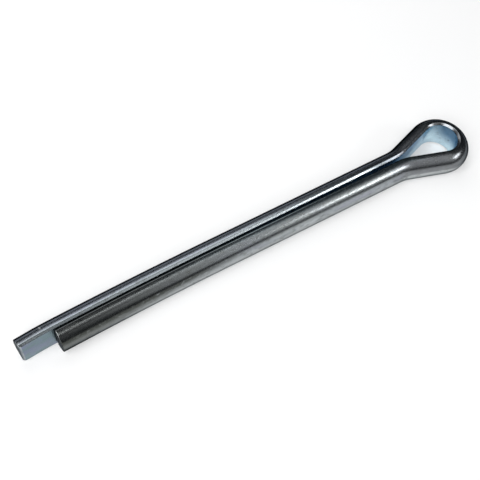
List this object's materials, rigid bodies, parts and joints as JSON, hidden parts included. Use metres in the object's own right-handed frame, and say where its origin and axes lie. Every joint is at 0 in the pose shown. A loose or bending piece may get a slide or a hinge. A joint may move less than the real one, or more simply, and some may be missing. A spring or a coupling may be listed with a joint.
{
  "type": "cotter pin",
  "caption": "Split cotter pin of half-round steel wire bent double, with a round eye at one end and closed legs of unequal length",
  "frame": {"origin": "on the shank's axis at the foot of the eye, where the legs begin", "axes": "+X along the shank towards the eye, +Y towards the long leg, +Z along the eye's axis, up as the pin lies flat"},
  "size_m": [0.0574, 0.0074, 0.0036],
  "materials": {
    "zinc_plated_steel": "bright bluish zinc plating over drawn steel wire, finely scratched"
  },
  "bodies": {
    "root": {"split_pin": "zinc_plated_steel"}
  },
  "joints": []
}
